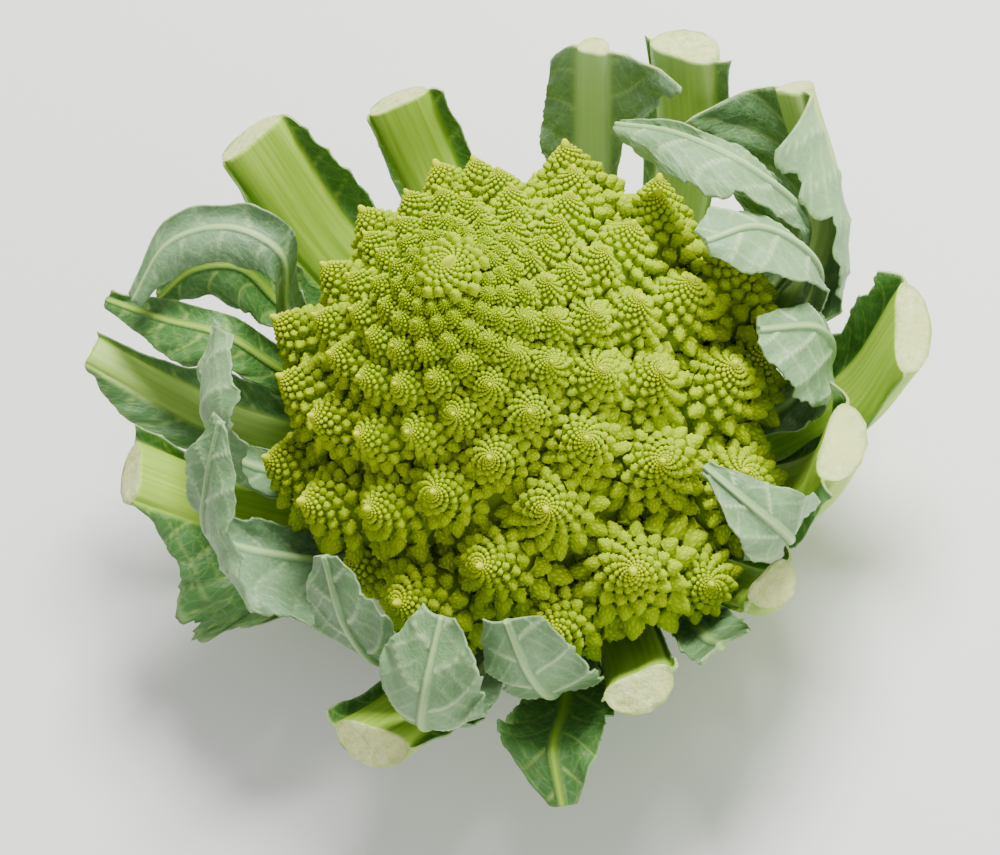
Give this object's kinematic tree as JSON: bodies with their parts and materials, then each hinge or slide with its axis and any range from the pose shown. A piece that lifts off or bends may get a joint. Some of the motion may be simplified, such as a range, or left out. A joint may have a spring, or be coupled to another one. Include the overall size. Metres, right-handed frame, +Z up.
{
  "type": "romanesco head",
  "caption": "Head of romanesco with spiralling pointed florets in a cup of trimmed leaves, standing on its cut stalk.",
  "frame": {"origin": "middle of the stalk's cut face, which the head stands on", "axes": "+Z up along the head's axis, -Y towards the side that the picture looks down on"},
  "size_m": [0.2336, 0.2271, 0.142],
  "materials": {
    "curd": "matt lime green plant tissue, yellower at the tips of its bumps",
    "stalk": "pale green skin round a whitish fibrous cut face",
    "cut_leaf": "waxy leaf with a smooth pale green rib, cut across, and pale veins in a dark green blade",
    "wrapper_leaf": "waxy leaf with a pale blue-green underside and raised veins"
  },
  "bodies": {
    "root": {"curd": "curd", "stalk": "stalk", "cut_leaf_1": "cut_leaf", "cut_leaf_2": "cut_leaf", "cut_leaf_3": "cut_leaf", "cut_leaf_4": "cut_leaf", "cut_leaf_5": "cut_leaf", "cut_leaf_6": "cut_leaf", "cut_leaf_7": "cut_leaf", "cut_leaf_8": "cut_leaf", "cut_leaf_9": "cut_leaf", "cut_leaf_10": "cut_leaf", "cut_leaf_11": "cut_leaf", "cut_leaf_12": "cut_leaf", "cut_leaf_13": "cut_leaf", "cut_leaf_14": "cut_leaf", "wrapper_leaf_1": "wrapper_leaf", "wrapper_leaf_2": "wrapper_leaf", "wrapper_leaf_3": "wrapper_leaf", "wrapper_leaf_4": "wrapper_leaf", "wrapper_leaf_5": "wrapper_leaf", "wrapper_leaf_6": "wrapper_leaf", "wrapper_leaf_7": "wrapper_leaf", "wrapper_leaf_8": "wrapper_leaf", "wrapper_leaf_9": "wrapper_leaf", "wrapper_leaf_10": "wrapper_leaf", "wrapper_leaf_11": "wrapper_leaf", "wrapper_leaf_12": "wrapper_leaf"}
  },
  "joints": []
}
